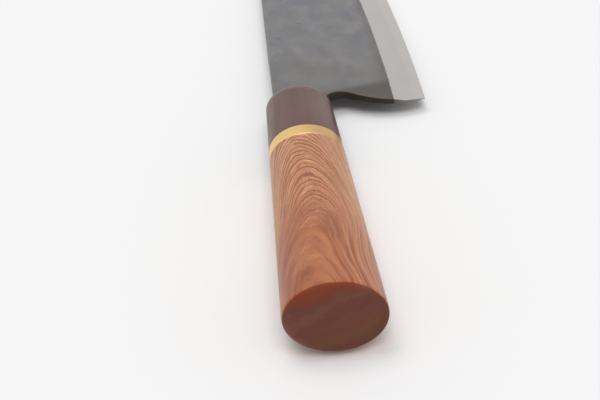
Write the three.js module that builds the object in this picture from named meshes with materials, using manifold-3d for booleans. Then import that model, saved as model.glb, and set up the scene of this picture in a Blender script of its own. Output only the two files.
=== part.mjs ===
// Nakiri: a vegetable knife with a tall laminated blade on an oval wooden stick handle.
// Millimetres, +Z up. The knife lies on its side with the blade's middle plane level.
// +X runs from the butt of the handle to the tip, and +Y from the cutting edge to the spine.
// The origin is below the middle of the knife, level with the lowest line of the handle.
import * as THREE from "three";
import { mergeVertices } from "three/addons/utils/BufferGeometryUtils.js";
import Module from "manifold-3d";

const wasm = await Module();
wasm.setup();

// Handle: an oval that tapers from the butt to the ferrule's front face, where x is 0
const HANDLE_LENGTH = 120.5;
const FERRULE_LENGTH = 32.5;
const SPACER_LENGTH = 6.2;
const BUTT_WIDTH = 25.6;
const FRONT_WIDTH = 21.9;
const OVAL_RATIO = 0.785; // thickness over width, the same all along the handle
const BUTT_EASE_RADIAL = 1.6; // how far the rounded rim of the butt reaches in
const BUTT_EASE_AXIAL = 1.2; // and how far it reaches along the handle
const FERRULE_EASE = 1.6; // rounded rim of the ferrule's front face

// Dowel that lines up grip, spacer and ferrule, and the slot sawn in it for the tang
const DOWEL_DIAMETER = 11;
const DOWEL_CHAMFER = 0.8;
const DOWEL_SOLID_END = 14; // unsawn wood behind the slot
const SLOT_SPARE = 2; // slot left over behind the end of the tang
const BEDDING_WALL = 0.7; // resin on each face of the tang
const FERRULE_FRONT_WALL = 6; // wood between the dowel and the ferrule's front face
const DRILL_POINT = 3; // depth of the cone that the drill leaves in the grip
const GLUE_GAP = 0.3; // clearance of every glued fit

// Blade in plan, measured from the handle's axis
const BLADE_LENGTH = 165; // heel corner to the foremost point of the tip
const HEEL_X = 4.9; // heel corner, ahead of the ferrule's front face
const SPINE_Y = 8.1; // spine where it meets the handle
const SPINE_DROP = 0.8; // how far the spine's slow curve falls on its way to the tip
const EDGE_Y = -45.9; // deepest point of the cutting edge
const EDGE_BELLY_X = 106; // where along the blade the edge is deepest
const EDGE_RADIUS = 2100; // slow curve of the cutting edge
const TIP_SPINE_RADIUS = 15; // round corner between the spine and the front
const TIP_EDGE_RADIUS = 3.5; // small corner between the front and the edge
const TIP_RAKE = 2.5; // how far the front leans back from the edge to the spine
const CHOIL_DEPTH = 4.6; // finger hollow of the heel, from the heel corner
const CHOIL_Y = -15.4; // deepest point of that hollow
const CHOIL_RADIUS = 6;
const HEEL_SWELL = 2.15; // how far the heel swells out behind its corner
const HEEL_SWELL_Y = -34.6; // where it swells most

// Blade in section: each thickness is taken over both faces
const SPINE_THICKNESS = 3.6; // at the neck
const SHINOGI_THICKNESS = 2.4; // at the neck, on the ridge where the ground bevel starts
const DISTAL_LOSS = 0.8; // thickness lost evenly from the neck to the tip
const EDGE_THICKNESS = 0.2;
const BEVEL_WIDTH = 10.9; // at the heel
const BEVEL_TIP_WIDTH = 12.7;
const CORE_THICKNESS = 0.7; // hard steel between two layers of soft iron

// Tang, inside the handle
const TANG_LENGTH = 66;
const TANG_HEIGHT = 8.4; // at the ferrule's front face
const TANG_END_HEIGHT = 5;
const TANG_THINNING = 0.68; // thickness at the end over thickness at the ferrule

// Fineness of the facets
const OVAL_SEGMENTS = 64;
const BORE_SEGMENTS = 32;
const ROUND_STEPS = 5;
const CURVE_STEPS = 14;
const GRIND_STEPS = 22;
const BEYOND = 2; // how far a cutting tool runs past what it cuts

// Joins and cuts on closed meshes
function solidOf(geometry) {
  const bare = geometry.clone();
  bare.deleteAttribute("normal");
  bare.deleteAttribute("uv");
  const merged = mergeVertices(bare);
  const vertProperties = merged.getAttribute("position").array;
  const triVerts = new Uint32Array(merged.index.array);
  return new wasm.Manifold(new wasm.Mesh({ numProp: 3, vertProperties, triVerts }));
}

function geometryOf(solid) {
  const { vertProperties, triVerts } = solid.getMesh();
  const geometry = new THREE.BufferGeometry();
  geometry.setAttribute("position", new THREE.BufferAttribute(vertProperties, 3));
  geometry.setIndex(new THREE.BufferAttribute(triVerts, 1));
  geometry.computeVertexNormals();
  return geometry;
}

// Stock shapes

// A profile of (radius, x) points, turned about the X axis
function turned(profile, segments) {
  const points = profile.map(([radius, x]) => new THREE.Vector2(radius, x));
  return new THREE.LatheGeometry(points, segments).rotateZ(-Math.PI / 2);
}

// A quarter of an ellipse from one point of a profile to another. It leaves the first along the
// axis or along the radius, and arrives at the second the other way.
function easedRim(from, to, leavesAlongAxis) {
  const points = [];
  for (let i = 0; i <= ROUND_STEPS; i++) {
    const turn = (i / ROUND_STEPS) * (Math.PI / 2);
    const early = Math.sin(turn);
    const late = 1 - Math.cos(turn);
    const [radial, axial] = leavesAlongAxis ? [late, early] : [early, late];
    points.push([from[0] + (to[0] - from[0]) * radial, from[1] + (to[1] - from[1]) * axial]);
  }
  return points;
}

function box(x0, x1, y0, y1, z0, z1) {
  const geometry = new THREE.BoxGeometry(x1 - x0, y1 - y0, z1 - z0);
  return geometry.translate((x0 + x1) / 2, (y0 + y1) / 2, (z0 + z1) / 2);
}

// A plan outline raised to a plate, half above and half below the blade's middle plane
function plate(shape, thickness) {
  const options = { depth: thickness, bevelEnabled: false, curveSegments: CURVE_STEPS };
  return new THREE.ExtrudeGeometry(shape, options).translate(0, 0, -thickness / 2);
}

// Sections with the same number of points, joined in a row and closed at both ends
function loft(sections) {
  const around = sections[0].length;
  const triangles = [];
  for (let s = 0; s + 1 < sections.length; s++) {
    for (let i = 0; i < around; i++) {
      const a = s * around + i;
      const b = s * around + ((i + 1) % around);
      triangles.push(a, b, a + around, b, b + around, a + around);
    }
  }
  const last = (sections.length - 1) * around;
  for (let i = 1; i + 1 < around; i++) {
    triangles.push(0, i + 1, i, last, last + i, last + i + 1);
  }
  const geometry = new THREE.BufferGeometry();
  geometry.setAttribute("position", new THREE.Float32BufferAttribute(sections.flat(2), 3));
  geometry.setIndex(triangles);
  return geometry;
}

// Handle

const gripFront = -(FERRULE_LENGTH + SPACER_LENGTH);
const dowelFront = -(FERRULE_FRONT_WALL + GLUE_GAP);
const slotBack = -(TANG_LENGTH + SLOT_SPARE);
const dowelBack = slotBack - DOWEL_SOLID_END;
const slotWidth = SPINE_THICKNESS + 2 * (GLUE_GAP + BEDDING_WALL + GLUE_GAP);

// Half the handle's width at a place along it
function halfWidth(x) {
  return THREE.MathUtils.lerp(FRONT_WIDTH, BUTT_WIDTH, -x / HANDLE_LENGTH) / 2;
}

function oval(profile) {
  return solidOf(turned(profile, OVAL_SEGMENTS).scale(1, 1, OVAL_RATIO));
}

function gripBlank() {
  const rim = -HANDLE_LENGTH + BUTT_EASE_AXIAL;
  const flatRadius = halfWidth(rim) - BUTT_EASE_RADIAL;
  return oval([
    [0, -HANDLE_LENGTH],
    ...easedRim([flatRadius, -HANDLE_LENGTH], [halfWidth(rim), rim], false),
    [halfWidth(gripFront), gripFront],
    [0, gripFront],
  ]);
}

function spacerBlank() {
  return oval([
    [0, gripFront],
    [halfWidth(gripFront), gripFront],
    [halfWidth(-FERRULE_LENGTH), -FERRULE_LENGTH],
    [0, -FERRULE_LENGTH],
  ]);
}

function ferruleBlank() {
  const rim = -FERRULE_EASE;
  return oval([
    [0, -FERRULE_LENGTH],
    [halfWidth(-FERRULE_LENGTH), -FERRULE_LENGTH],
    ...easedRim([halfWidth(rim), rim], [halfWidth(rim) - FERRULE_EASE, 0], true),
    [0, 0],
  ]);
}

// The drilled hole for the dowel, from the ferrule's front wall to its conical end in the grip
function dowelBore() {
  const radius = DOWEL_DIAMETER / 2 + GLUE_GAP;
  const back = dowelBack - GLUE_GAP;
  const profile = [
    [0, back - DRILL_POINT],
    [radius, back],
    [radius, -FERRULE_FRONT_WALL],
    [0, -FERRULE_FRONT_WALL],
  ];
  return solidOf(turned(profile, BORE_SEGMENTS));
}

function dowelBlank() {
  const radius = DOWEL_DIAMETER / 2;
  const profile = [
    [0, dowelBack],
    [radius - DOWEL_CHAMFER, dowelBack],
    [radius, dowelBack + DOWEL_CHAMFER],
    [radius, dowelFront - DOWEL_CHAMFER],
    [radius - DOWEL_CHAMFER, dowelFront],
    [0, dowelFront],
  ];
  return solidOf(turned(profile, BORE_SEGMENTS));
}

// The saw cut in the dowel, drawn in by a clearance on each side and at its back
function sawCut(clearance) {
  const half = slotWidth / 2 - clearance;
  const reach = DOWEL_DIAMETER;
  return solidOf(box(slotBack + clearance, dowelFront + BEYOND, -reach, reach, -half, half));
}

// Blade

const tipX = HEEL_X + BLADE_LENGTH;
const shoulderX = GLUE_GAP; // the neck's shoulders stop just short of the ferrule

// The cutting edge in plan: a slow parabola
function edgeY(x) {
  return EDGE_Y + (x - EDGE_BELLY_X) ** 2 / (2 * EDGE_RADIUS);
}

function traceEdge(shape, fromX, toX) {
  const controlY = EDGE_Y + ((fromX - EDGE_BELLY_X) * (toX - EDGE_BELLY_X)) / (2 * EDGE_RADIUS);
  shape.quadraticCurveTo((fromX + toX) / 2, controlY, toX, edgeY(toX));
}

// The S of the heel: its finger hollow is one circle, and the swell below it another that touches
// the first and is upright where it reaches furthest back
function traceHeel(shape) {
  const hollowX = HEEL_X + CHOIL_DEPTH - CHOIL_RADIUS;
  const swellX = HEEL_X - HEEL_SWELL;
  const across = hollowX - swellX;
  const up = CHOIL_Y - HEEL_SWELL_Y;
  const radius = (across ** 2 + up ** 2 - CHOIL_RADIUS ** 2) / (2 * (CHOIL_RADIUS + across));
  const turn = Math.atan2(up, radius - across);
  shape.quadraticCurveTo(swellX, (edgeY(HEEL_X) + HEEL_SWELL_Y) / 2, swellX, HEEL_SWELL_Y);
  shape.absarc(swellX + radius, HEEL_SWELL_Y, radius, Math.PI, Math.PI - turn, true);
  shape.absarc(hollowX, CHOIL_Y, CHOIL_RADIUS, -turn, Math.PI / 2, false);
}

// Half the height of the tang, grown by a clearance
function tangHalf(x, clearance) {
  return THREE.MathUtils.lerp(TANG_HEIGHT, TANG_END_HEIGHT, -x / TANG_LENGTH) / 2 + clearance;
}

// The tang in plan: a straight taper to a rounded end
function traceTang(shape, frontX, clearance) {
  const end = tangHalf(-TANG_LENGTH, clearance);
  const endX = -TANG_LENGTH - clearance + end;
  shape.lineTo(frontX, -tangHalf(frontX, clearance));
  shape.lineTo(endX, -end);
  shape.absarc(endX, 0, end, -Math.PI / 2, Math.PI / 2, true);
  shape.lineTo(frontX, tangHalf(frontX, clearance));
}

// The whole blade in plan: spine, tip, edge, heel, neck and tang
function bladeOutline() {
  const cornerX = tipX - TIP_RAKE - TIP_SPINE_RADIUS;
  const edgeEndX = tipX - TIP_EDGE_RADIUS;
  const edgeCornerY = edgeY(edgeEndX) + TIP_EDGE_RADIUS;
  const shape = new THREE.Shape();
  const cornerY = SPINE_Y - SPINE_DROP;
  shape.moveTo(shoulderX, SPINE_Y);
  shape.quadraticCurveTo((shoulderX + cornerX) / 2, SPINE_Y, cornerX, cornerY);
  shape.absarc(cornerX, cornerY - TIP_SPINE_RADIUS, TIP_SPINE_RADIUS, Math.PI / 2, 0, true);
  shape.lineTo(tipX, edgeCornerY);
  shape.absarc(edgeEndX, edgeCornerY, TIP_EDGE_RADIUS, 0, -Math.PI / 2, true);
  traceEdge(shape, edgeEndX, HEEL_X);
  traceHeel(shape);
  shape.lineTo(shoulderX, CHOIL_Y + CHOIL_RADIUS);
  traceTang(shape, shoulderX, 0);
  shape.closePath();
  return shape;
}

function bevelWidth(x) {
  return THREE.MathUtils.lerp(BEVEL_WIDTH, BEVEL_TIP_WIDTH, (x - HEEL_X) / BLADE_LENGTH);
}

// Half the thickness of the flats, which are one plane on each side from the neck to the tip
function flatHalf(x, y) {
  const shinogiY = edgeY(shoulderX) + bevelWidth(shoulderX);
  const down = (SPINE_Y - y) / (SPINE_Y - shinogiY);
  const along = Math.max(x, 0) / tipX;
  return (THREE.MathUtils.lerp(SPINE_THICKNESS, SHINOGI_THICKNESS, down) - DISTAL_LOSS * along) / 2;
}

// One section across the forged and ground bar, grown by a clearance on each face
function barSection(x, clearance) {
  const thinning = THREE.MathUtils.lerp(1, TANG_THINNING, Math.max(-x, 0) / TANG_LENGTH);
  const top = SPINE_Y + BEYOND;
  const edge = edgeY(Math.max(x, 0));
  const bevel = bevelWidth(Math.max(x, 0));
  const shinogi = edge + bevel;
  const low = edge - EDGE_THICKNESS / 2;
  const slope = (flatHalf(x, shinogi) - EDGE_THICKNESS / 2) / bevel;
  const lowHalf = EDGE_THICKNESS / 2 - slope * (edge - low);
  const halves = [flatHalf(x, top), flatHalf(x, shinogi), lowHalf];
  const [a, b, c] = halves.map((half) => half * thinning + clearance);
  return [[x, top, a], [x, shinogi, b], [x, low, c], [x, low, -c], [x, shinogi, -b], [x, top, -a]];
}

// The bar that the blade is cut from: wedge-shaped flats, ground bevels and a thinning tang
function forgedBar(clearance) {
  const sections = [barSection(-TANG_LENGTH - BEYOND, clearance)];
  for (let i = 0; i <= GRIND_STEPS; i++) {
    sections.push(barSection(((tipX + BEYOND) * i) / GRIND_STEPS, clearance));
  }
  return solidOf(loft(sections));
}

function bladeBlank() {
  return forgedBar(0).intersect(solidOf(plate(bladeOutline(), 2 * SPINE_THICKNESS)));
}

// The layer of the blade between two heights
function layer(blank, low, high) {
  const reach = HANDLE_LENGTH + BLADE_LENGTH;
  return blank.intersect(solidOf(box(-reach, reach, -reach, reach, low, high)));
}

// Room for the tang in the pieces of the handle
function tangPocket() {
  const shape = new THREE.Shape();
  shape.moveTo(BEYOND, 0);
  traceTang(shape, BEYOND, GLUE_GAP);
  shape.closePath();
  return forgedBar(GLUE_GAP).intersect(solidOf(plate(shape, 2 * SPINE_THICKNESS)));
}

// Resin that fills the saw cut round the tang
function beddingBlank() {
  const radius = DOWEL_DIAMETER / 2;
  const profile = [[0, dowelBack], [radius, dowelBack], [radius, dowelFront], [0, dowelFront]];
  return solidOf(turned(profile, BORE_SEGMENTS)).intersect(sawCut(GLUE_GAP));
}

// Finishes
function finish(color, roughness, metalness) {
  return new THREE.MeshStandardMaterial({ color, roughness, metalness });
}

const HARD_STEEL = finish(0xb9b7b3, 0.3, 1);
const SCALED_IRON = finish(0x5d5c5b, 0.55, 0.7);
const REDDISH_WOOD = finish(0xb06f4c, 0.45, 0);
const DARK_WOOD = finish(0x5a423b, 0.5, 0);
const BRASS = finish(0xd8a950, 0.3, 1);
const PLAIN_WOOD = finish(0xd9b98a, 0.7, 0);
const RESIN = finish(0xd8c48c, 0.35, 0);

function piece(name, solid, material) {
  const mesh = new THREE.Mesh(geometryOf(solid), material);
  mesh.name = name;
  return mesh;
}

// Assembly
const bladeSolid = bladeBlank();
const coreHalf = CORE_THICKNESS / 2;
const outside = 2 * SPINE_THICKNESS;
const blade = new THREE.Group();
blade.add(
  piece("blade_core", layer(bladeSolid, -coreHalf, coreHalf), HARD_STEEL),
  piece("cladding_right", layer(bladeSolid, coreHalf, outside), SCALED_IRON),
  piece("cladding_left", layer(bladeSolid, -outside, -coreHalf), SCALED_IRON),
);

const bore = dowelBore();
const pocket = tangPocket();
const handle = new THREE.Group();
handle.add(
  piece("grip", gripBlank().subtract(bore).subtract(pocket), REDDISH_WOOD),
  piece("brass_spacer", spacerBlank().subtract(bore).subtract(pocket), BRASS),
  piece("ferrule", ferruleBlank().subtract(bore).subtract(pocket), DARK_WOOD),
  piece("dowel", dowelBlank().subtract(sawCut(0)).subtract(pocket), PLAIN_WOOD),
  piece("tang_bedding", beddingBlank().subtract(pocket), RESIN),
);

const knife = new THREE.Group();
knife.add(blade, handle);
const buttHalfWidth = halfWidth(-HANDLE_LENGTH + BUTT_EASE_AXIAL);
knife.position.set(
  (HANDLE_LENGTH - tipX) / 2,
  -(buttHalfWidth + EDGE_Y) / 2,
  buttHalfWidth * OVAL_RATIO,
);

export default knife;
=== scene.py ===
# Looks of a nakiri knife that lies on its side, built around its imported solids. Meshes are in metres, and
# finishes work in millimetres.
import math

import bmesh
import bpy
from mathutils import Matrix, Vector, noise


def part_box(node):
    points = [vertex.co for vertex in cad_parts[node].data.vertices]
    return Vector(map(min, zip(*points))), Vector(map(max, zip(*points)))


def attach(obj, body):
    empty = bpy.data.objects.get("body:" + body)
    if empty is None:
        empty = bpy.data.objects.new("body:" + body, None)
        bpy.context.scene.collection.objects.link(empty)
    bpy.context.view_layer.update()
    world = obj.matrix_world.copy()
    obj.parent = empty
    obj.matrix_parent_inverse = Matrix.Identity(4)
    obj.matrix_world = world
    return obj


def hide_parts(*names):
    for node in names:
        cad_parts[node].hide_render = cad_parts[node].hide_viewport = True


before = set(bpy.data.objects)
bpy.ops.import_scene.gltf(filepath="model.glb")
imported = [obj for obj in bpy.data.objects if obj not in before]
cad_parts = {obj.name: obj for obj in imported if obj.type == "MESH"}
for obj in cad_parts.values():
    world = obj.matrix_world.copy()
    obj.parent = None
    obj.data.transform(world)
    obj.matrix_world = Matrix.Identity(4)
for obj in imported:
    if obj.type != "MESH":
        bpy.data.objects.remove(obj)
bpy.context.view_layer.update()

# Blade
# One forging of three layers: a hard steel core between two skins of soft iron. The flats keep their dark
# forge scale, the bevel is ground bright on a wheel, and the tang behind the neck is glued into the handle.
MM = 0.001
ferrule_low, ferrule_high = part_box("ferrule")
core_low, core_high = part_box("blade_core")
axis_y = (ferrule_low.y + ferrule_high.y) / 2
axis_z = (ferrule_low.z + ferrule_high.z) / 2
mouth = Vector((ferrule_high.x, axis_y, axis_z))

CORNER_EASE = 0.4 * MM
CORNER_STEPS = 3
GRID_STEP = 1.5 * MM
MERGE_DISTANCE = 0.001 * MM
FLAT_ANGLE = math.radians(0.15)
RIDGE_ANGLE = math.radians(2)
SMOOTH_ANGLE = math.radians(30)
FACING = 0.9
SIDEWAYS = 0.3
CORE_HALF = 0.35
EDGE_HALF = 0.7 * CORE_HALF
EDGE_SQUEEZE = 0.3
HAMMER_START = 0.5
HAMMER_DEPTH = 0.05
HAMMER_LENGTH = 13
HAMMER_HEIGHT = 8
HAMMER_SEED = 0.3
FINE_HAMMER = 2.3
FINE_HAMMER_SHARE = 0.5
FINE_HAMMER_SEED = 5.7
HEEL_DIP = 0.3
HEEL_BAND_TOP = Vector((8.5, -10))
HEEL_BAND_SLOPE = 0.46


def start_edit(piece):
    """Opens one piece for editing, with everything else deselected."""
    bpy.ops.object.select_all(action="DESELECT")
    piece.select_set(True)
    bpy.context.view_layer.objects.active = piece
    bpy.ops.object.mode_set(mode="EDIT")


def end_edit():
    """Closes the piece being edited."""
    bpy.ops.object.mode_set(mode="OBJECT")


def select_where(piece, kind, test):
    """Selects the vertices, edges or faces of the piece being edited that pass a test."""
    bpy.ops.mesh.select_mode(type=kind)
    bpy.ops.mesh.select_all(action="DESELECT")
    mesh = bmesh.from_edit_mesh(piece.data)
    elements = {"VERT": mesh.verts, "EDGE": mesh.edges, "FACE": mesh.faces}[kind]
    for element in elements:
        if test(element):
            element.select_set(True)
    bmesh.update_edit_mesh(piece.data)


def smooth_shading(piece):
    """Shades a piece smooth, apart from the corners that are sharper than a set angle or marked sharp."""
    bpy.ops.object.select_all(action="DESELECT")
    piece.select_set(True)
    bpy.context.view_layer.objects.active = piece
    bpy.ops.object.shade_smooth_by_angle(angle=SMOOTH_ANGLE, keep_sharp_edges=True)


def merged_copy(node, name):
    """A copy of a CAD node with its loose triangles merged into whole faces, open for editing."""
    piece = bpy.data.objects.new(name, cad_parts[node].data.copy())
    bpy.context.scene.collection.objects.link(piece)
    piece.data.materials.clear()
    start_edit(piece)
    bpy.ops.mesh.customdata_custom_splitnormals_clear()
    bpy.ops.mesh.select_all(action="SELECT")
    bpy.ops.mesh.remove_doubles(threshold=MERGE_DISTANCE)
    bpy.ops.mesh.dissolve_limited(angle_limit=FLAT_ANGLE)
    return piece


def cut_grid(step):
    """Cuts the layer being edited into squares, so that its faces can follow the hammer."""
    rows = [(0, mouth.x + step, core_high.x), (1, core_low.y + step, core_high.y)]
    for axis, place, end in rows:
        normal = Vector((0, 0, 0))
        normal[axis] = 1
        while place < end:
            bpy.ops.mesh.select_all(action="SELECT")
            bpy.ops.mesh.bisect(plane_co=normal * place, plane_no=normal, threshold=MERGE_DISTANCE)
            place += step


def hammered(along, height):
    """How far the hammer left the face off its true plane, in millimetres."""
    long_share = along / HAMMER_LENGTH
    high_share = height / HAMMER_HEIGHT
    broad = noise.noise(Vector((long_share, high_share, HAMMER_SEED)))
    fine = noise.noise(Vector((long_share * FINE_HAMMER, high_share * FINE_HAMMER, FINE_HAMMER_SEED)))
    return HAMMER_DEPTH * (broad + FINE_HAMMER_SHARE * fine)


def heel_line(height):
    """How far ahead of the ferrule the brown band at the heel ends, at a height on the blade."""
    return HEEL_BAND_TOP.x + (HEEL_BAND_TOP.y - height) * HEEL_BAND_SLOPE


def heel_facet(along, height):
    """How much the flat is thinned towards the heel, in millimetres."""
    share = (heel_line(height) - along) / HEEL_BAND_TOP.x
    return HEEL_DIP * min(max(share, 0), 1)


def forge_skin(node, name, side):
    """One iron skin of the blade, on the upper (side 1) or lower (side -1) face."""
    piece = merged_copy(node, name)

    def is_corner(edge):
        tilts = [face.normal.z * side for face in edge.link_faces]
        ahead = all(vert.co.x > mouth.x + CORNER_EASE for vert in edge.verts)
        thick = all((vert.co.z - mouth.z) * side > 2 * CORE_HALF * MM for vert in edge.verts)
        return ahead and thick and max(tilts) > FACING and min(abs(tilt) for tilt in tilts) < SIDEWAYS

    def is_ridge(edge):
        outward = all(face.normal.z * side > FACING for face in edge.link_faces)
        return outward and edge.calc_face_angle() > RIDGE_ANGLE

    select_where(piece, "EDGE", is_corner)
    bpy.ops.mesh.bevel(offset=CORNER_EASE, segments=CORNER_STEPS, affect="EDGES")
    cut_grid(GRID_STEP)
    select_where(piece, "EDGE", is_ridge)
    bpy.ops.mesh.mark_sharp()
    end_edit()
    for vert in piece.data.vertices:
        along, height, rise = (vert.co - mouth) / MM
        off_core = min(max((rise * side - CORE_HALF) / CORE_HALF, 0), 1)
        free = off_core if along > HAMMER_START else 0
        vert.co.z += side * free * (hammered(along, height) - heel_facet(along, height)) * MM
    smooth_shading(piece)
    return piece


def forge_core(node, name):
    """The steel core, whose edge is drawn thinner than the solid's."""
    piece = merged_copy(node, name)
    select_where(piece, "VERT", lambda vert: abs(vert.co.z - mouth.z) < EDGE_HALF * MM)
    bpy.ops.transform.resize(value=(1, 1, EDGE_SQUEEZE), center_override=mouth)
    end_edit()
    smooth_shading(piece)
    return piece


class Shade:
    """A socket of a material's nodes. Sums on it add Math nodes, and add() makes any other node."""

    def __init__(self, tree, socket=None):
        self.tree = tree
        self.socket = socket

    def add(self, kind, settings=None, sockets=None, output=0):
        node = self.tree.nodes.new("ShaderNode" + kind)
        for name, value in (settings or {}).items():
            setattr(node, name, value)
        for key, value in (sockets or {}).items():
            if isinstance(value, Shade):
                self.tree.links.new(value.socket, node.inputs[key])
            else:
                node.inputs[key].default_value = value
        return Shade(self.tree, node.outputs[output])

    def maths(self, operation, *values):
        return self.add("Math", {"operation": operation}, dict(enumerate(values)))

    def __add__(self, other):
        return self.maths("ADD", self, other)

    def __radd__(self, other):
        return self.maths("ADD", other, self)

    def __sub__(self, other):
        return self.maths("SUBTRACT", self, other)

    def __rsub__(self, other):
        return self.maths("SUBTRACT", other, self)

    def __mul__(self, other):
        return self.maths("MULTIPLY", self, other)

    def __rmul__(self, other):
        return self.maths("MULTIPLY", other, self)

    def __truediv__(self, other):
        return self.maths("DIVIDE", self, other)

    def __rtruediv__(self, other):
        return self.maths("DIVIDE", other, self)

    def __abs__(self):
        return self.maths("ABSOLUTE", self)

    def step(self, low, high):
        """0 at low and 1 at high, with a soft step between."""
        limits = {"Value": self, "From Min": low, "From Max": high}
        return self.add("MapRange", {"interpolation_type": "SMOOTHSTEP"}, limits)

    def mix(self, first, second):
        """From the first colour to the second, as this value goes from 0 to 1."""
        return self.add("Mix", {"data_type": "RGBA"}, {0: self, 6: first, 7: second}, 2)

    def stretched(self, x, y, z):
        """These coordinates with each axis multiplied."""
        return self.add("VectorMath", {"operation": "MULTIPLY"}, {0: self, 1: (x, y, z)})

    def cloud(self, scale, detail=2, roughness=0.5):
        """Soft noise from 0 to 1 at these coordinates, with so many clouds to the millimetre."""
        values = {"Vector": self, "Scale": scale, "Detail": detail, "Roughness": roughness}
        return self.add("TexNoise", None, values)

    def parts(self):
        """The three axes of these coordinates."""
        split = self.add("SeparateXYZ", None, {0: self}).socket.node
        return [Shade(self.tree, output) for output in split.outputs]


def srgb(red, green, blue):
    """A colour written as it shows on a screen, from 0 to 255."""
    shares = [level / 255 for level in (red, green, blue)]
    return tuple(((share + 0.055) / 1.055) ** 2.4 for share in shares) + (1,)


def millimetres(finish, centre, turn=(0, 0, 0)):
    """A material's coordinates in millimetres from a centre, turned if need be."""
    start = Shade(finish.node_tree)
    place = start.add("TexCoord", None, None, "Object")
    values = {"Vector": place, "Location": centre, "Rotation": turn, "Scale": (MM, MM, MM)}
    return start.add("Mapping", {"vector_type": "TEXTURE"}, values)


def new_finish(name):
    """A new material, and its coordinates in millimetres from the middle of the ferrule's front face."""
    finish = bpy.data.materials.new(name)
    finish.use_nodes = True
    return finish, millimetres(finish, mouth)


def dress(finish, values):
    """Sets or links the sockets of a material's shader."""
    shader = finish.node_tree.nodes["Principled BSDF"]
    for name, value in values.items():
        if isinstance(value, Shade):
            finish.node_tree.links.new(value.socket, shader.inputs[name])
        else:
            shader.inputs[name].default_value = value


EDGE_LOW = (core_low.y - mouth.y) / MM
EDGE_BELLY = 106
EDGE_RADIUS = 2100
BEVEL_WIDTH = 10.85
BEVEL_GAIN = 0.0109
CORE_LINE = 3.4
CORE_LINE_RISE = 0.009
CORE_LINE_WANDER = 2.2
NECK_REACH = 60
SCALE_BLUE = srgb(118, 117, 122)
SCALE_GREY = srgb(135, 133, 133)
SCALE_GREEN = srgb(122, 124, 119)
SCALE_STAIN_AND_SHADE = srgb(96, 88, 82)
SCALE_PIT = srgb(74, 71, 70)
WALL_SHADE = srgb(68, 63, 59)
BEVEL_IRON = srgb(188, 185, 183)
BEVEL_STEEL = srgb(192, 189, 187)
BEVEL_SHADE = srgb(180, 175, 172)
GREEN_SHARE = 0.5
STAIN_SHARE = 0.16
HEEL_BROWN_SHARE = 0.9
RIDGE_SHADE_SHARE = 0.35
NECK_BROWN_SHARE = 0.28
PIT_SHARE = 0.5
GRIND_SHARE = 0.18
BEVEL_SHADE_SHARE = 0.5
SCALE_ROUGHNESS = 0.42
BEVEL_ROUGHNESS = 0.32
BLADE_BUMP = 0.03 * MM


def scale_colours(place, along, height, above_ridge, blotch, pits, ragged):
    """The forge scale's greys, with brown stains, a brown band at the heel, painted shade along the ridge,
    and darker towards the neck.
    """
    colour = blotch.mix(SCALE_BLUE, SCALE_GREY)
    tint = place.stretched(0.5, 1, 1).cloud(0.09, 3).step(0.4, 0.75)
    colour = (tint * GREEN_SHARE).mix(colour, SCALE_GREEN)
    stain = place.stretched(0.22, 1, 1).cloud(0.16, 3).step(0.56, 0.8)
    colour = (stain * STAIN_SHARE).mix(colour, SCALE_STAIN_AND_SHADE)
    heel_band = (heel_line(height) - along + ragged * 3).step(-3, 3)
    colour = (heel_band * HEEL_BROWN_SHARE).mix(colour, SCALE_STAIN_AND_SHADE)
    # Painted shade along the ridge on the flat side, in the stains' brown; the flat is also darker towards
    # the neck.
    near_ridge = 1 - (above_ridge + ragged * 2).step(0.5, 4.5)
    near_neck = 1 - along.step(0, NECK_REACH)
    colour = (near_ridge * RIDGE_SHADE_SHARE + near_neck * NECK_BROWN_SHARE).mix(colour, SCALE_STAIN_AND_SHADE)
    return (pits * PIT_SHARE).mix(colour, SCALE_PIT)


def bevel_colours(place, iron, grinding):
    """The bevel's ground iron and the polished steel below it, clouded along the wheel's strokes."""
    colour = iron.mix(BEVEL_STEEL, BEVEL_IRON)
    colour = (grinding * GRIND_SHARE).mix(colour, SCALE_GREY)
    shade = place.stretched(0.5, 1, 1).cloud(0.13, 3).step(0.4, 0.7)
    return (shade * BEVEL_SHADE_SHARE).mix(colour, BEVEL_SHADE)


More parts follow.
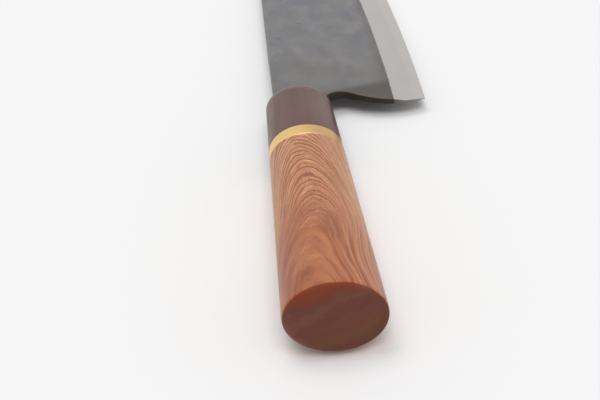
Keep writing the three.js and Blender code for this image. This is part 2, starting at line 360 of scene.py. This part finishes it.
def blade_finish():
    """Forge scale on the flats, ground iron on the bevel and polished steel along the edge."""
    finish, place = new_finish("blade_finish")
    along, height, rise = place.parts()
    ahead = along - EDGE_BELLY
    above_edge = height - EDGE_LOW - ahead * ahead / (2 * EDGE_RADIUS)
    above_ridge = above_edge - BEVEL_WIDTH - along * BEVEL_GAIN
    ragged = place.cloud(0.7, 3) - 0.5
    scaled = (above_ridge + ragged * 0.5).step(-0.25, 0.25)
    blotch = place.stretched(0.7, 1, 1).cloud(0.1, 4, 0.6).step(0.34, 0.66)
    pits = place.stretched(1, 0.7, 1).cloud(0.34, 2, 0.7).step(0.66, 0.76)
    wander = place.stretched(1, 0.2, 0.2).cloud(0.12, 3) - 0.5
    core_line = CORE_LINE + along * CORE_LINE_RISE + wander * CORE_LINE_WANDER
    iron = (above_edge - core_line).step(-0.5, 0.5)
    grinding = place.stretched(3, 0.25, 1).cloud(1.3, 3)

    scale_colour = scale_colours(place, along, height, above_ridge, blotch, pits, ragged)
    colour = scaled.mix(bevel_colours(place, iron, grinding), scale_colour)
    # Painted shade: walls facing along the blade and faces turned down are darkened, fully beside the scale
    # and half as much under the bevel.
    facing = place.add("TexCoord", None, None, "Normal").parts()[0]
    under = (rise * -1).step(0.2, 0.6)
    wall_shade = (abs(facing) + under * 0.25).step(0.3, 0.7)
    colour = (wall_shade * (0.5 + above_edge.step(2, 16) * 0.45)).mix(colour, WALL_SHADE)

    grain = place.cloud(1.6, 4, 0.65)
    scale_rough = SCALE_ROUGHNESS + grain * 0.2 + blotch * 0.06
    bevel_rough = BEVEL_ROUGHNESS + grinding * 0.12 + iron * 0.03
    relief = scaled * (grain * 0.6 - pits * 1.2 + blotch * 0.5) + (1 - scaled) * grinding * 0.12
    bump = place.add("Bump", None, {"Strength": 0.35, "Distance": BLADE_BUMP, "Height": relief})
    dress(finish, {
        "Base Color": colour,
        "Metallic": 1,
        "Roughness": scaled * scale_rough + (1 - scaled) * bevel_rough + wall_shade * 0.25,
        "Normal": bump,
    })
    return finish


blade_core = forge_core("blade_core", "blade_core_forged")
skin_right = forge_skin("cladding_right", "cladding_right_forged", 1)
skin_left = forge_skin("cladding_left", "cladding_left_forged", -1)
forged_steel = blade_finish()
for layer, node, slot in [
    (blade_core, "blade_core", "hard_steel"),
    (skin_right, "cladding_right", "scaled_iron"),
    (skin_left, "cladding_left", "scaled_iron"),
]:
    layer.data.materials.append(forged_steel)
    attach(layer, "root")
    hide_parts(node)

# Ferrule
# A sleeve of dark, dense wood that keeps the handle's mouth from splitting. It is turned, drilled for the
# dowel, mortised for the tang, and shaped to the oval together with the brass and the grip.
spacer_low, spacer_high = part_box("brass_spacer")
grip_low, grip_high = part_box("grip")
dowel_low, dowel_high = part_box("dowel")
OVAL_SIDES = 160
OVAL_RATIO = (grip_high.z - grip_low.z) / (grip_high.y - grip_low.y)
BORE_SIDES = 64
JOINT_EASE = 0.08 * MM
JOINT_STEPS = 1
FIT_GAP = 0.3 * MM
DRILL_POINT = 3 * MM
TANG_HEIGHT = 8.4 * MM
TANG_THICKNESS = 3.6 * MM
FERRULE_ROUNDING = 4 * MM
FERRULE_FULLNESS = 0.78
ROUNDING_STEPS = 12


def half_width(low, high):
    """Half the width of an oval piece, at its widest end."""
    return (high.y - low.y) / 2


grip_half = half_width(grip_low, grip_high)
spacer_half = half_width(spacer_low, spacer_high)
ferrule_half = half_width(ferrule_low, ferrule_high)
taper = (spacer_half - ferrule_half) / (spacer_high.x - spacer_low.x)
mouth_half = ferrule_half - taper * (ferrule_high.x - ferrule_low.x)


def oval_rod(name, back, front, back_half, front_half):
    """A tapered oval rod along the handle's axis, open for editing."""
    bpy.ops.object.select_all(action="DESELECT")
    bpy.ops.mesh.primitive_cylinder_add(
        vertices=OVAL_SIDES,
        radius=back_half,
        depth=front - back,
        location=((back + front) / 2, mouth.y, mouth.z),
        rotation=(0, math.pi / 2, 0),
    )
    rod = bpy.context.object
    rod.name = name
    bpy.ops.object.transform_apply(location=True, rotation=True, scale=True)
    start_edit(rod)
    select_where(rod, "VERT", lambda vert: vert.co.x > (back + front) / 2)
    narrowing = front_half / back_half
    bpy.ops.transform.resize(value=(1, narrowing, narrowing), center_override=(front, mouth.y, mouth.z))
    bpy.ops.mesh.select_all(action="SELECT")
    bpy.ops.transform.resize(value=(1, 1, OVAL_RATIO), center_override=mouth)
    return rod


def round_rim(rod, place, offset, steps, fullness=0.5):
    """Rounds the rim of the rod being edited at one end. A fuller rounding is nearer to the corner."""
    near = MERGE_DISTANCE * 10
    select_where(rod, "EDGE", lambda edge: all(abs(vert.co.x - place) < near for vert in edge.verts))
    bpy.ops.mesh.bevel(offset=offset, segments=steps, profile=fullness, affect="EDGES")


def cut_out(piece, cutter):
    """Cuts the cutter's shape out of a piece and deletes the cutter."""
    bpy.ops.object.select_all(action="DESELECT")
    bpy.context.view_layer.objects.active = piece
    bpy.ops.object.modifier_add(type="BOOLEAN")
    cut = piece.modifiers[-1]
    cut.operation = "DIFFERENCE"
    cut.object = cutter
    bpy.ops.object.modifier_apply(modifier=cut.name)
    bpy.data.objects.remove(cutter)


def dowel_bore():
    """A cutter for the hole that the dowel sits in, with a drill point at both ends."""
    back = dowel_low.x - FIT_GAP
    front = dowel_high.x + FIT_GAP
    bpy.ops.object.select_all(action="DESELECT")
    bpy.ops.mesh.primitive_cylinder_add(
        vertices=BORE_SIDES,
        radius=half_width(dowel_low, dowel_high) + FIT_GAP,
        depth=front - back,
        location=((back + front) / 2, mouth.y, mouth.z),
        rotation=(0, math.pi / 2, 0),
    )
    cutter = bpy.context.object
    bpy.ops.object.transform_apply(location=True, rotation=True, scale=True)
    start_edit(cutter)
    for direction in (-1, 1):
        select_where(cutter, "FACE", lambda face: face.normal.x * direction > FACING)
        bpy.ops.mesh.extrude_region_move(TRANSFORM_OT_translate={"value": (direction * DRILL_POINT, 0, 0)})
        bpy.ops.mesh.merge(type="CENTER")
    end_edit()
    return cutter


def tang_mortise():
    """A cutter for the slot that the tang enters the ferrule by."""
    back = dowel_high.x - FIT_GAP
    front = mouth.x + FIT_GAP
    bpy.ops.object.select_all(action="DESELECT")
    bpy.ops.mesh.primitive_cube_add(size=1, location=((back + front) / 2, mouth.y, mouth.z))
    cutter = bpy.context.object
    cutter.scale = (front - back, TANG_HEIGHT + 2 * FIT_GAP, TANG_THICKNESS + 2 * FIT_GAP)
    bpy.ops.object.transform_apply(location=True, rotation=True, scale=True)
    return cutter


ferrule = oval_rod("ferrule_turned", ferrule_low.x, ferrule_high.x, ferrule_half, mouth_half)
round_rim(ferrule, ferrule_high.x, FERRULE_ROUNDING, ROUNDING_STEPS, FERRULE_FULLNESS)
round_rim(ferrule, ferrule_low.x, JOINT_EASE, JOINT_STEPS)
end_edit()
cut_out(ferrule, dowel_bore())
cut_out(ferrule, tang_mortise())
smooth_shading(ferrule)

FERRULE_BROWN = srgb(90, 59, 52)
FERRULE_DARK = srgb(80, 52, 47)
FERRULE_PURPLE = srgb(94, 65, 61)
FERRULE_WARM = srgb(92, 54, 46)
FERRULE_RIM_HIGHLIGHT = srgb(134, 104, 98)
FERRULE_PORE = srgb(46, 30, 27)
DARK_SHARE = 0.3
PURPLE_SHARE = 0.6
WARM_SHARE = 0.6
RIM_HIGHLIGHT_SHARE = 0.42
FERRULE_PORE_SHARE = 0.45
FERRULE_SHEEN = 0.35
WOOD_BUMP = 0.02 * MM


def ferrule_finish():
    """Dark wood with straight fine grain, warmer towards the brass, with a painted highlight on its rounded
    front rim.
    """
    finish, place = new_finish("dark_wood_finish")
    along = place.parts()[0]
    streak = place.stretched(0.1, 1, 1).cloud(0.4, 4, 0.6).step(0.3, 0.75)
    colour = (streak * DARK_SHARE).mix(FERRULE_BROWN, FERRULE_DARK)
    patch = place.cloud(0.11, 3).step(0.4, 0.65)
    colour = (patch * PURPLE_SHARE).mix(colour, FERRULE_PURPLE)
    near_brass = (along * -1).step(10, 32)
    colour = (near_brass * WARM_SHARE).mix(colour, FERRULE_WARM)
    # Painted highlight along the rounded front rim.
    near_rim = (along + patch * 0.8).step(-3.8, -1.2)
    colour = (near_rim * RIM_HIGHLIGHT_SHARE).mix(colour, FERRULE_RIM_HIGHLIGHT)
    pores = place.stretched(0.12, 1, 1).cloud(2.4, 2).step(0.68, 0.74)
    colour = (pores * FERRULE_PORE_SHARE).mix(colour, FERRULE_PORE)
    relief = streak * 0.2 - pores
    dress(finish, {
        "Base Color": colour,
        "Roughness": 0.33 + streak * 0.1,
        "Specular IOR Level": FERRULE_SHEEN,
        "Normal": place.add("Bump", None, {"Strength": 0.3, "Distance": WOOD_BUMP, "Height": relief}),
    })
    return finish


ferrule.data.materials.append(ferrule_finish())
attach(ferrule, "root")
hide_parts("ferrule")

# Brass spacer
# A ring cut from brass bar, drilled for the dowel and sanded flush with the wood on both sides of it, which
# leaves fine scratches along the handle.
spacer = oval_rod("brass_spacer_ring", spacer_low.x, spacer_high.x, spacer_half, ferrule_half)
round_rim(spacer, spacer_low.x, JOINT_EASE, JOINT_STEPS)
round_rim(spacer, spacer_high.x, JOINT_EASE, JOINT_STEPS)
end_edit()
cut_out(spacer, dowel_bore())
smooth_shading(spacer)

BRASS_YELLOW = srgb(231, 195, 124)
BRASS_TARNISH_AND_SHADE = srgb(150, 98, 68)
SHADED_SIDE_MIDDLE = -8
SHADED_SIDE_REACH = 14
SHADED_SIDE_SHARE = 0.45
TARNISH_SHARE = 0.3
SCRATCH_BUMP = 0.01 * MM


def brass_finish():
    """Satin brass with sanding scratches and a little tarnish, darker on its right side, partly tarnish and
    partly painted shade.
    """
    finish, place = new_finish("brass_finish")
    scratch = place.stretched(0.12, 1, 1).cloud(6, 3, 0.7)
    # Painted shade, with some tarnish, darkens a band round the brass's right side.
    shaded_right_side = 1 - abs(place.parts()[1] - SHADED_SIDE_MIDDLE).step(0, SHADED_SIDE_REACH)
    tarnish_and_shade = shaded_right_side * SHADED_SIDE_SHARE + (place.cloud(0.16, 3) - 0.5) * TARNISH_SHARE
    dress(finish, {
        "Base Color": tarnish_and_shade.mix(BRASS_YELLOW, BRASS_TARNISH_AND_SHADE),
        "Metallic": 1,
        "Roughness": 0.26 + scratch * 0.16 + tarnish_and_shade * 0.06,
        "Normal": place.add("Bump", None, {"Strength": 0.25, "Distance": SCRATCH_BUMP, "Height": scratch}),
    })
    return finish


spacer.data.materials.append(brass_finish())
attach(spacer, "root")
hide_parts("brass_spacer")

# Grip
# An oval stick of flat-sawn reddish wood, drilled for the dowel, glued against the brass, sanded and oiled.
# Its yearly layers are nested cups round a line along its top, so they come out there as nested arches.
BUTT_ROUNDING = 2 * MM
BUTT_FULLNESS = 0.62
BUTT_CROWN = 0.25 * MM
CROWN_SHARES = [0.8, 0.6, 0.4, 0.2]
SQUARE = 0.9999

butt = grip_low.x + BUTT_CROWN
grip = oval_rod("grip_stick", butt, grip_high.x, grip_half, spacer_half)
round_rim(grip, butt, BUTT_ROUNDING, ROUNDING_STEPS, BUTT_FULLNESS)
select_where(grip, "FACE", lambda face: face.normal.x < -SQUARE)
last_share = 1
for share in CROWN_SHARES:
    rise = BUTT_CROWN * (last_share ** 2 - share ** 2)
    narrowing = share / last_share
    bpy.ops.mesh.extrude_region_move(TRANSFORM_OT_translate={"value": (-rise, 0, 0)})
    bpy.ops.transform.resize(value=(1, narrowing, narrowing), center_override=(grip_low.x, mouth.y, mouth.z))
    last_share = share
round_rim(grip, grip_high.x, JOINT_EASE, JOINT_STEPS)
end_edit()
cut_out(grip, dowel_bore())
smooth_shading(grip)

HEART_AT_BUTT = mouth + Vector((-115, -0.3, 10)) * MM
HEART_TURN = (0, math.radians(0.7), math.radians(3.3))
HEART_SWAY = 6
SWAY_START = 3
SWAY_END = 36
FIGURE_START = 15
FIGURE_END = 46
ARCH_WIDTH = 3.6
ARCH_SPREAD = 2.4
ARCH_REACH = 72
WANDER = 5
RIPPLE = 5
RIPPLE_LOSS = 3
FEATHER = 1.4
FEATHER_LOSS = 0.6
RING_START = 54.4
RING_STEP = 2.65
LEAN_YEARS = 3.5
DARK_LAYERS = [(25.5, 0.4), (38.5, 0.2), (46.4, 0.2), (54.4, 1), (59.7, 1), (65, 0.4), (73, 0.5)]
DARKEST = 0.75
WOOD_TAN = srgb(208, 146, 92)
WOOD_LIGHT = srgb(228, 172, 128)
WOOD_HEART = srgb(202, 135, 100)
WOOD_PINK = srgb(141, 73, 41)
WOOD_ORANGE = srgb(191, 121, 78)
WOOD_LINE = srgb(112, 50, 16)
WOOD_PORE = srgb(104, 54, 34)
GRIP_SHEEN = 0.3
GRIP_RIM = 0.05
END_PURPLE = srgb(90, 47, 34)
END_RED = srgb(118, 42, 8)
END_RIM_SHADE = srgb(76, 36, 22)
END_RIM_HIGHLIGHT = srgb(122, 78, 54)
END_TURN = (math.radians(-28), 0, 0)
END_LAYERS = [(-5, srgb(96, 58, 26)), (-2, srgb(98, 50, 34)), (4, srgb(104, 62, 45))]
END_LAYER_SHARE = 0.65
END_RED_SHARE = 0.9
END_RIM_SHADE_SHARE = 0.6
END_RIM_HIGHLIGHT_SHARE = 0.7
END_SHARE = 0.96


def end_colours(end_place, mottle, left, up):
    """End grain in slanting layers, red at the upper left, with painted shade lower right and a painted
    highlight lower left.
    """
    slanted = end_place.parts()[2] + (mottle - 0.5) * 10
    colour = END_PURPLE
    for middle, layer_colour in END_LAYERS:
        band = 1 - abs(slanted - middle).step(0.2, 2.6)
        colour = (band * END_LAYER_SHARE).mix(colour, layer_colour)
    upper_left = up + left * 0.45 + (mottle - 0.5) * 0.6
    colour = (upper_left.step(0.5, 0.9) * END_RED_SHARE).mix(colour, END_RED)
    # Painted shade darkens the rim towards the lower right.
    near_rim = left * left + up * up + (mottle - 0.5) * 0.8
    lower_right_shade = near_rim - up * 0.3 - left * 0.4
    colour = (lower_right_shade.step(0.9, 1.4) * END_RIM_SHADE_SHARE).mix(colour, END_RIM_SHADE)
    # Painted highlight on the rounding of the lower-left rim.
    lower_left_highlight = left * 0.8 - up * 0.6 + (mottle - 0.5) * 0.5
    return (lower_left_highlight.step(0.75, 1) * END_RIM_HIGHLIGHT_SHARE).mix(colour, END_RIM_HIGHLIGHT)


def grip_finish():
    """Reddish wood with yearly layers, pores and darker end grain under a satin oil finish, with painted
    shade on its left side.
    """
    finish, from_mouth = new_finish("reddish_wood_finish")
    place = millimetres(finish, HEART_AT_BUTT, HEART_TURN)
    along, across, depth = place.parts()
    figured = along.step(FIGURE_START, FIGURE_END)
    aside = across - (1 - along.step(SWAY_START, SWAY_END)) * HEART_SWAY
    reach = aside * aside + depth * depth
    share = along * along / ARCH_REACH ** 2
    arch = along + reach / (ARCH_WIDTH + share * share * ARCH_SPREAD)
    wander = place.stretched(0.5, 1, 1).cloud(0.09, 2) - 0.5
    ripple = place.stretched(0.3, 1, 1).cloud(0.6, 3, 0.6) - 0.5
    feather = place.stretched(0.1, 1, 1).cloud(1.7, 2, 0.6) - 0.5
    layer = arch + wander * WANDER + ripple * (RIPPLE - figured * RIPPLE_LOSS)
    layer = layer + feather * (FEATHER - figured * FEATHER_LOSS)

    def strokes(density, length, detail):
        """Strokes that follow the layers: how many there are to a layer, and their length in millimetres."""
        course = {0: layer * density, 1: aside / length, 2: along / (length * 3)}
        return place.add("CombineXYZ", None, course).cloud(1, detail, 0.6)

    late_wood = strokes(0.42, 14, 2).step(0.48, 0.6)
    fine_line = strokes(1.1, 7, 2).step(0.47, 0.56)
    years = layer - RING_START + (strokes(0.15, 16, 1) - 0.5) * LEAN_YEARS
    ring_angle = years * (2 * math.pi / RING_STEP)
    ring = ring_angle.maths("COSINE", ring_angle).step(0.3, 0.95)
    ring = ring * (0.3 + strokes(0.3, 10, 1).step(0.42, 0.62))
    dark_layer = 0
    for middle, strength in DARK_LAYERS:
        dark_layer = dark_layer + (1 - abs(layer - middle).step(0.1, 0.65)) * strength
    broken = place.stretched(0.12, 1, 1).cloud(1.8, 3, 0.6).step(0.36, 0.6)
    near_top = 1 - reach.step(70, 180)

    plain_colour = strokes(0.17, 9, 1).step(0.28, 0.7).mix(WOOD_PINK, WOOD_ORANGE)
    colour = (figured * 0.85).mix(plain_colour, WOOD_HEART)
    # Painted shade: the plain wood turns pinker and darker towards the left side.
    left_side_shade = across.step(-7, 7)
    colour = (left_side_shade * (1 - figured) * 0.42).mix(colour, WOOD_PINK)
    outer = reach.step(45, 130) * 0.6 + layer.step(48, 60) * 0.4
    colour = (outer * figured * 0.8).mix(colour, WOOD_TAN)
    gleam = (1 - strokes(0.6, 4, 2).step(0.3, 0.46)) * (0.2 + figured * 0.45)
    colour = gleam.mix(colour, WOOD_LIGHT)
    crowded = 0.8 + layer.step(50, 54) * 0.3
    line = late_wood * (0.05 + figured * 0.22) + fine_line * (0.02 + figured * 0.34)
    line = line + ring * figured * crowded
    line = line * (0.7 + broken * 0.3) * (0.6 + near_top * 0.4)
    line = line + dark_layer * (0.2 + figured * 0.4 + broken * 0.25)
    colour = line.maths("MINIMUM", line, DARKEST).mix(colour, WOOD_LINE)
    pores = place.stretched(0.09, 1, 1).cloud(2.4, 2).step(0.6, 0.68)
    colour = (pores * (0.1 + figured * 0.2)).mix(colour, WOOD_PORE)

    end_place = millimetres(finish, mouth, END_TURN)
    mottle = end_place.stretched(1, 0.5, 1).cloud(0.3, 4, 0.6)
    beside, above = from_mouth.parts()[1:]
    left = beside / (grip_half / MM)
    up = above / (grip_half * OVAL_RATIO / MM)
    facing = place.add("TexCoord", None, None, "Normal").parts()[0]
    end = (mottle * 0.4 - 0.2 - facing).step(0.25, 0.6)
    colour = (end * END_SHARE).mix(colour, end_colours(end_place, mottle, left, up))

    relief = late_wood * 0.2 - pores
    dress(finish, {
        "Base Color": colour,
        "Roughness": 0.36 + late_wood * 0.08 + end * 0.25,
        "Specular IOR Level": GRIP_SHEEN,
        "Sheen Weight": GRIP_RIM,
        "Normal": place.add("Bump", None, {"Strength": 0.3, "Distance": WOOD_BUMP, "Height": relief}),
    })
    return finish


grip.data.materials.append(grip_finish())
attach(grip, "root")
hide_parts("grip")

# Dowel and bedding
# A raw dowel lines up the three handle pieces inside, sawn down the middle for the tang, and cured epoxy
# fills what is left of the saw cut. Both keep their solids' shape.
DOWEL_PALE = srgb(214, 186, 142)
DOWEL_GRAIN = srgb(186, 150, 104)
RESIN_AMBER = srgb(206, 176, 120)
RESIN_DEEP = srgb(180, 142, 84)


def dowel_finish():
    """Raw pale wood with long straight grain."""
    finish, place = new_finish("dowel_finish")
    streak = place.stretched(0.06, 1, 1).cloud(1.4, 3)
    colour = streak.step(0.35, 0.65).mix(DOWEL_PALE, DOWEL_GRAIN)
    dress(finish, {"Base Color": colour, "Roughness": 0.7 + streak * 0.1})
    return finish


def resin_finish():
    """Cured amber epoxy with slight clouds in it."""
    finish, place = new_finish("resin_finish")
    haze = place.cloud(0.4, 2)
    colour = haze.step(0.35, 0.65).mix(RESIN_AMBER, RESIN_DEEP)
    dress(finish, {"Base Color": colour, "Roughness": 0.2 + haze * 0.1})
    return finish


for node, finish in [("dowel", dowel_finish()), ("tang_bedding", resin_finish())]:
    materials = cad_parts[node].data.materials
    materials.clear()
    materials.append(finish)

# Floor, light and camera
# A pale table in a white studio: a soft lamp over the viewer's shoulder, a second one above the spine, and
# even light from all round. The table is tilted to touch the ferrule's front and the tip of the edge.
FLOOR_SIZE = 6
FLOOR_WHITE = srgb(242, 242, 242)
FLOOR_ROUGHNESS = 0.9
FLOOR_ROLL = math.radians(5)
EDGE_TIP = Vector((core_high.x, core_low.y, mouth.z))
SKY_LIGHT = 0.5
SKY_SEEN = 0.92
LAMP_WIDTH = math.radians(30)
LAMPS = {
    "viewer_lamp": (1.15, Vector((-0.55, 0, 0.83))),
    "spine_lamp": (0.75, Vector((0.1, 0.25, 0.96))),
}
EYE = mouth + Vector((-314.478, 22.865, 140.389)) * MM
EYE_PITCH = math.radians(29.114)
EYE_YAW = math.radians(-4.246)
EYE_ROLL = math.radians(0.077)
LENS = 61.849

bpy.ops.object.select_all(action="DESELECT")
roll_slope = math.tan(FLOOR_ROLL)
floor_drop = mouth_half * math.hypot(OVAL_RATIO, roll_slope)
tip_rise = floor_drop + (EDGE_TIP.y - mouth.y) * roll_slope
rise_slope = tip_rise / (EDGE_TIP.x - mouth.x)
floor_normal = Vector((-rise_slope, roll_slope, 1))
bpy.ops.mesh.primitive_plane_add(
    size=FLOOR_SIZE,
    location=(mouth.x, mouth.y, mouth.z - floor_drop),
    rotation=floor_normal.to_track_quat("Z", "Y").to_euler(),
)
floor = bpy.context.object
floor.name = "floor"
floor_finish = new_finish("floor_finish")[0]
dress(floor_finish, {"Base Color": FLOOR_WHITE, "Roughness": FLOOR_ROUGHNESS, "Specular IOR Level": 0})
floor.data.materials.append(floor_finish)

world = bpy.data.worlds.new("studio")
bpy.context.scene.world = world
world.use_nodes = True
sky = Shade(world.node_tree)
ray = sky.add("LightPath").socket.node.outputs
seen = Shade(world.node_tree, ray["Is Camera Ray"])
for kind in ("Is Glossy Ray", "Is Transmission Ray"):
    seen = seen.maths("MAXIMUM", seen, Shade(world.node_tree, ray[kind]))
sky_strength = SKY_LIGHT + seen * (SKY_SEEN - SKY_LIGHT)
background = world.node_tree.nodes["Background"]
background.inputs["Color"].default_value = (1, 1, 1, 1)
world.node_tree.links.new(sky_strength.socket, background.inputs["Strength"])

for name, (strength, towards) in LAMPS.items():
    lamp = bpy.data.lights.new(name, "SUN")
    lamp.energy = strength
    lamp.angle = LAMP_WIDTH
    lamp_stand = bpy.data.objects.new(name, lamp)
    lamp_stand.rotation_euler = towards.to_track_quat("Z", "Y").to_euler()
    bpy.context.scene.collection.objects.link(lamp_stand)

camera = bpy.data.cameras.new("camera")
camera.lens = LENS
camera_stand = bpy.data.objects.new("camera", camera)
heading = Matrix.Rotation(EYE_YAW - math.pi / 2, 4, "Z")
tilt = Matrix.Rotation(math.pi / 2 - EYE_PITCH, 4, "X")
roll = Matrix.Rotation(EYE_ROLL, 4, "Z")
camera_stand.matrix_world = Matrix.Translation(EYE) @ heading @ tilt @ roll
bpy.context.scene.collection.objects.link(camera_stand)
bpy.context.scene.camera = camera_stand
bpy.context.scene.view_settings.view_transform = "Standard"
